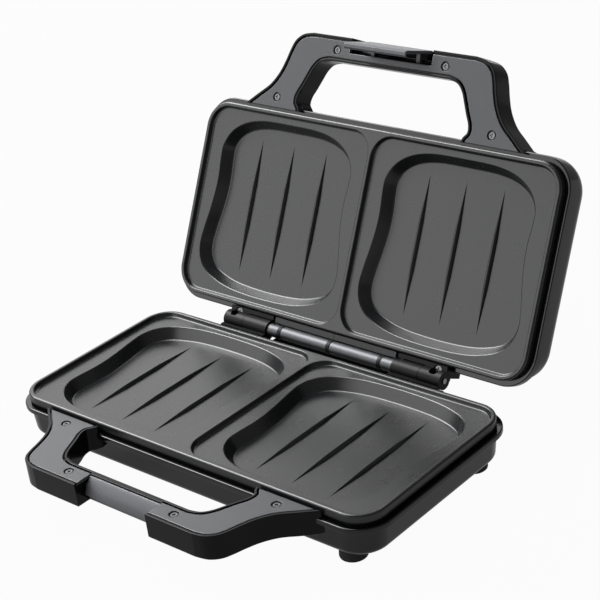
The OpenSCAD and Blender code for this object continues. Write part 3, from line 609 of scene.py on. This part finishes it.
# Latch: a satin grey moulding on a steel pin across the recess of the lid's handle. Its plate ends
# in a hook, and two ears carry it. It leans in by nine degrees, to where its hook holds the catch.
latch_front, latch_top, latch_t, hook_y, hook_z = -121.9, 13.5, 2.2, -117.6, -13.0
latch_pin_y, latch_pin_z, ear_x, ear_t = -114.0, 11.0, 17.0, 3.0
latch_profile = [
    (latch_front, latch_top), (latch_front + latch_t, latch_top), (latch_front + latch_t, hook_z),
    (hook_y, hook_z), (hook_y, hook_z - 0.4), (hook_y - 1.2, hook_z - 1.8),
    (latch_front + 1, hook_z - 1.8), (latch_front, hook_z - 0.3),
]
latch_mesh = bar_along_x(latch_profile, -25, 25)
for side_x in (-1, 1):
    round_end = [(latch_pin_y + 3.5 * math.cos(t), latch_pin_z + 3.5 * math.sin(t))
                 for t in (math.pi / 2 * (k / 4 - 1) for k in range(9))]
    ear = [(latch_front + 1, latch_pin_z - 3.5)] + round_end + [(latch_front + 1, latch_top)]
    rings = [[latch_mesh.verts.new((side_x * x, y, min(z, latch_top if y < latch_pin_y else z)))
              for y, z in ear] for x in (ear_x, ear_x + ear_t)]
    join_rings(latch_mesh, *rings)
    latch_mesh.faces.new(rings[0])
    latch_mesh.faces.new(rings[1])
latch_rest = Matrix.Rotation(math.radians(9), 4, "X")
latch_pin = Matrix.Translation((0, latch_pin_y, latch_pin_z))
piece("latch_clip", latch_mesh, latch_grey, "latch", ["latch"],
      to_lid @ latch_pin @ latch_rest @ latch_pin.inverted(), bevel=0.3)

# Metal and small parts keep their CAD shape: bright drawn tubes, zinc-plated screws and pins,
# phosphated sheet, and the parts inside the housings. The latch's zinc pin and its steel spring
# are coloured near black instead, as painted shade under the latch.
tube_steel = finish_material("tube_steel", "464749", "57585a", (0.4, 0.54), 0.3, 0.012, metal=1.0,
                             stretch=(0.2, 1, 1), relief=0.4)
zinc = finish_material("zinc", "8f9193", "a2a4a6", (0.3, 0.42), 0.4, 0.01, metal=1.0)
black_zinc = finish_material("black_zinc", "626365", "717274", (0.28, 0.38), 0.4, 0.01, metal=1.0)
# Painted shade: a near-black steel for the latch's zinc pin and its spring, standing in for the shade
# under the latch.
painted_shade_steel = finish_material("painted_shade_steel", "131314", "1c1c1d", (0.45, 0.55), 0.4, 0.01,
                                  metal=1.0)
bracket_black = finish_material("bracket_black", "060607", "0a0a0b", (0.38, 0.46), 0.8, 0.01,
                                relief=0.3, shine=0.15)
dark_sheet = finish_material("dark_sheet", "1d1d1f", "252527", (0.4, 0.5), 0.3, 0.01, metal=0.3)
ring_black = finish_material("ring_black", "070708", "0c0c0d", (0.4, 0.5), 0.5, 0.01, shine=0.15)
bright_sheet = finish_material("bright_sheet", "b4b6b8", "c6c8ca", (0.2, 0.32), 0.5, 0.006,
                               metal=1.0, stretch=(0.1, 1, 1))
tinted_steel = finish_material("tinted_steel", "6d6862", "85807a", (0.35, 0.5), 0.6, 0.01, metal=1.0)
ceramic = finish_material("ceramic", "cfcabb", "dcd8ca", (0.3, 0.45), 0.8, 0.02)
nylon = finish_material("nylon", "d2d0c6", "dedcd3", (0.4, 0.5), 0.6, 0.02)
braid = finish_material("braid", "bdb9aa", "cecabb", (0.75, 0.9), 0.5, 0.08, relief=0.8)
lens = finish_material("red_lens", "7a120c", "8c1a12", (0.08, 0.14), 1.0, 0.01, coat=0.3)
bulb = finish_material("lamp_glass", "d8b489", "e2c29c", (0.06, 0.12), 1.0, 0.01)

finishes = {
    "hinge_sleeves": tube_steel, "hinge_end_bushes": tube_steel, "hinge_pin": zinc,
    "hinge_spacers": ring_black, "lid_hinge_leaf": dark_sheet,
    "base_hinge_brackets": bracket_black, "lid_hinge_brackets": bracket_black,
    "lower_handle_screws": black_zinc, "upper_handle_screws": black_zinc,
    "base_bracket_screws": black_zinc, "lid_bracket_screws": black_zinc, "lower_plate_screws": zinc, "upper_plate_screws": zinc,
    "lower_element_clips": zinc, "upper_element_clips": zinc, "thermostat_clip": zinc,
    "lower_heating_element": tinted_steel, "upper_heating_element": tinted_steel,
    "lower_reflector": bright_sheet, "upper_reflector": bright_sheet, "thermostat": ceramic,
    "thermal_fuse": ceramic, "terminal_block": nylon, "internal_wires": braid, "lid_wires": braid,
    "cord_gland": rubber, "lamp_lenses": lens, "indicator_lamps": bulb, "latch_pin": painted_shade_steel,
    "latch_spring": painted_shade_steel,
}
for name, material in finishes.items():
    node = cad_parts[name]
    node.data.materials.clear()
    node.data.materials.append(material)

# Floor: one plain sheet of white studio paper, far larger than the toaster.
floor_mesh = bpy.data.meshes.new("floor")
floor_mesh.from_pydata(
    [(-9, -9, -0.0002), (9, -9, -0.0002), (9, 9, -0.0002), (-9, 9, -0.0002)], [], [(0, 1, 2, 3)]
)
floor = link_object("floor", floor_mesh)
material = bpy.data.materials.new("studio_paper")
material.use_nodes = True
tree = material.node_tree
tree.nodes.clear()
grain = add_node(tree, "ShaderNodeTexNoise", {"Scale": 900.0, "Detail": 2.0})
bump = add_node(tree, "ShaderNodeBump", {"Strength": 0.02, "Distance": 0.0001},
                {"Height": grain.outputs["Fac"]})
paper = add_node(tree, "ShaderNodeBsdfDiffuse", {"Color": linear("9a9a9a")},
                 {"Normal": bump.outputs["Normal"]})
glow = add_node(tree, "ShaderNodeEmission", {"Color": (1, 1, 1, 1), "Strength": 1.0})
ray = add_node(tree, "ShaderNodeLightPath")
direct = add_node(tree, "ShaderNodeMath", {"operation": "MAXIMUM"},
                  {0: ray.outputs["Is Camera Ray"], 1: ray.outputs["Is Transmission Ray"]})
mirrored = add_node(tree, "ShaderNodeMath", {"operation": "MULTIPLY", 1: 0.42},
                    {0: ray.outputs["Is Glossy Ray"]})
seen = add_node(tree, "ShaderNodeMath", {"operation": "MULTIPLY", 1: 0.96},
                {0: direct.outputs[0]})
share = add_node(tree, "ShaderNodeMath", {"operation": "MAXIMUM"},
                 {0: seen.outputs[0], 1: mirrored.outputs[0]})
mixed = add_node(tree, "ShaderNodeMixShader", {},
                 {0: share.outputs[0], 1: paper.outputs[0], 2: glow.outputs[0]})
add_node(tree, "ShaderNodeOutputMaterial", {}, {"Surface": mixed.outputs[0]})
floor_mesh.materials.append(material)

# Light: a dim white room, and three soft boxes on the left. Two large ones, low in front and low
# behind, are what the plates and covers mirror, and a small high one draws the edges.
world = bpy.data.worlds.new("room")
bpy.context.scene.world = world
world.use_nodes = True
tree = world.node_tree
tree.nodes.clear()
ray = add_node(tree, "ShaderNodeLightPath")
seen = add_node(tree, "ShaderNodeMath", {"operation": "MAXIMUM"},
                {0: ray.outputs["Is Camera Ray"], 1: ray.outputs["Is Transmission Ray"]})
way = add_node(tree, "ShaderNodeTexCoord")
facing = add_node(tree, "ShaderNodeVectorMath",
                  {"operation": "DOT_PRODUCT", 1: Vector((-0.62, -0.08, 0.78)).normalized()},
                  {0: way.outputs["Generated"]})
panel = add_node(tree, "ShaderNodeMapRange",
                 {"interpolation_type": "SMOOTHSTEP", "From Min": 0.89, "From Max": 0.96,
                  "To Min": 0.0, "To Max": 9.5}, {"Value": facing.outputs["Value"]})
mirrored = add_node(tree, "ShaderNodeMath", {"operation": "MULTIPLY_ADD", 2: 0.22},
                    {0: ray.outputs["Is Glossy Ray"], 1: panel.outputs[0]})
strength = add_node(tree, "ShaderNodeMix", {"data_type": "FLOAT", 3: 1.0},
                    {0: seen.outputs[0], 2: mirrored.outputs[0]})
room = add_node(tree, "ShaderNodeBackground", {"Color": (1, 1, 1, 1)},
                {"Strength": strength.outputs["Result"]})
add_node(tree, "ShaderNodeOutputWorld", {}, {"Surface": room.outputs[0]})


def soft_box(name, position, aim, size, power):
    data = bpy.data.lights.new(name, "AREA")
    data.shape = "RECTANGLE"
    data.size = size[0]
    data.size_y = size[1]
    data.energy = power
    lamp = bpy.data.objects.new(name, data)
    bpy.context.collection.objects.link(lamp)
    lamp.location = position
    lamp.rotation_mode = "QUATERNION"
    lamp.rotation_quaternion = (Vector(aim) - Vector(position)).to_track_quat("-Z", "Y")


soft_box("box_high", (-0.95, -0.12, 1.2), (0, 0, 0.08), (0.7, 0.7), 12.0)
soft_box("box_front_left", (-0.84, -1.12, 0.56), (0, 0, 0.1), (1.5, 0.9), 10.0)
soft_box("box_back_left", (-1.05, 1.0, 0.70), (0, 0, 0.05), (1.8, 1.2), 12.0)
